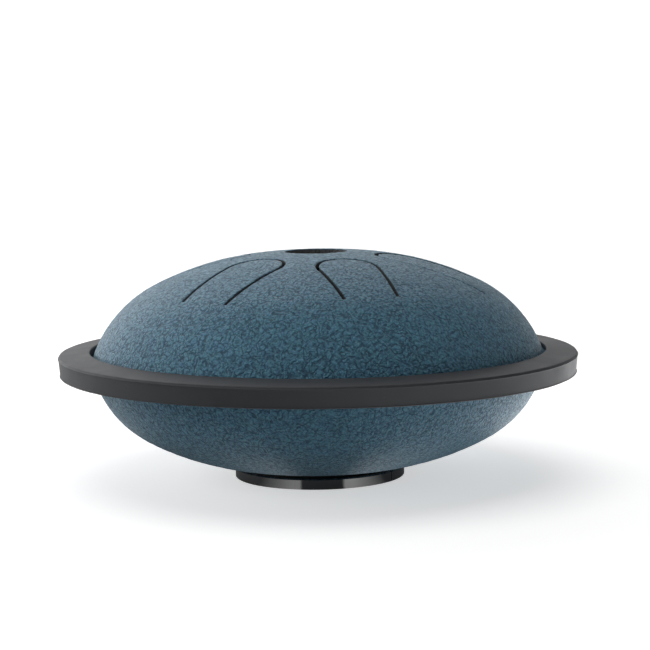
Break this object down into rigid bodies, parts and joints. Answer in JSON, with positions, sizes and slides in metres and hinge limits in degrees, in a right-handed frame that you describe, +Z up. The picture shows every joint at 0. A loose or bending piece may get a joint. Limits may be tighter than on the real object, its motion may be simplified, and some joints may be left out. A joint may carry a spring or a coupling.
{
  "type": "steel tongue drum",
  "caption": "Small handheld steel tongue drum: two domed shells with struck tongues cut in the top, a rubber rim ring, a round sound hole and a low foot ring.",
  "frame": {"origin": "centre of the foot ring's underside", "axes": "+Z up along the drum's axis, from the foot to the top sound hole; -Y towards the shortest tongue's side, the pictured front"},
  "size_m": [0.14, 0.14, 0.0609],
  "materials": {
    "shell_paint": "wrinkled blue-green powder coat, satin",
    "tongue_paint": "wrinkled blue-green powder coat, satin",
    "rim_rubber": "matte moulded rubber",
    "foot_gloss": "glossy black",
    "adhesive": "dark adhesive",
    "weld_bead": "ground weld bead",
    "magnet_plating": "nickel plating"
  },
  "bodies": {
    "drum": {"upper_shell": "shell_paint", "lower_shell": "shell_paint", "seam_weld": "weld_bead", "rim_ring": "rim_rubber", "foot_ring": "foot_gloss", "foot_adhesive": "adhesive"},
    "tongue_1": {"tongue_1": "tongue_paint", "tuning_magnet_1": "magnet_plating"},
    "tongue_2": {"tongue_2": "tongue_paint", "tuning_magnet_2": "magnet_plating"},
    "tongue_3": {"tongue_3": "tongue_paint", "tuning_magnet_3": "magnet_plating"},
    "tongue_4": {"tongue_4": "tongue_paint", "tuning_magnet_4": "magnet_plating"},
    "tongue_5": {"tongue_5": "tongue_paint", "tuning_magnet_5": "magnet_plating"},
    "tongue_6": {"tongue_6": "tongue_paint", "tuning_magnet_6": "magnet_plating"}
  },
  "joints": [
    {"name": "tongue_1_flex", "type": "hinge", "parent": "drum", "child": "tongue_1", "pos_m": [-0.01634, 0.04745, 0.04742], "axis": [-0.9455, -0.3256, 0], "range_deg": [-1, 1], "stiffness_Nm_per_rad": 0.05},
    {"name": "tongue_2_flex", "type": "hinge", "parent": "drum", "child": "tongue_2", "pos_m": [-0.04824, 0.00851, 0.04838], "axis": [-0.1736, -0.9848, 0], "range_deg": [-1, 1], "stiffness_Nm_per_rad": 0.05},
    {"name": "tongue_3_flex", "type": "hinge", "parent": "drum", "child": "tongue_3", "pos_m": [0.03229, 0.03536, 0.04918], "axis": [-0.7385, 0.6743, 0], "range_deg": [-1, 1], "stiffness_Nm_per_rad": 0.05},
    {"name": "tongue_4_flex", "type": "hinge", "parent": "drum", "child": "tongue_4", "pos_m": [0.0456, -0.01086, 0.04984], "axis": [0.2317, 0.9728, 0], "range_deg": [-1, 1], "stiffness_Nm_per_rad": 0.05},
    {"name": "tongue_5_flex", "type": "hinge", "parent": "drum", "child": "tongue_5", "pos_m": [-0.02862, -0.03586, 0.05046], "axis": [0.7815, -0.6239, 0], "range_deg": [-1, 1], "stiffness_Nm_per_rad": 0.05},
    {"name": "tongue_6_flex", "type": "hinge", "parent": "drum", "child": "tongue_6", "pos_m": [0.01361, -0.0414, 0.0517], "axis": [0.95, 0.3123, 0], "range_deg": [-1, 1], "stiffness_Nm_per_rad": 0.05}
  ]
}
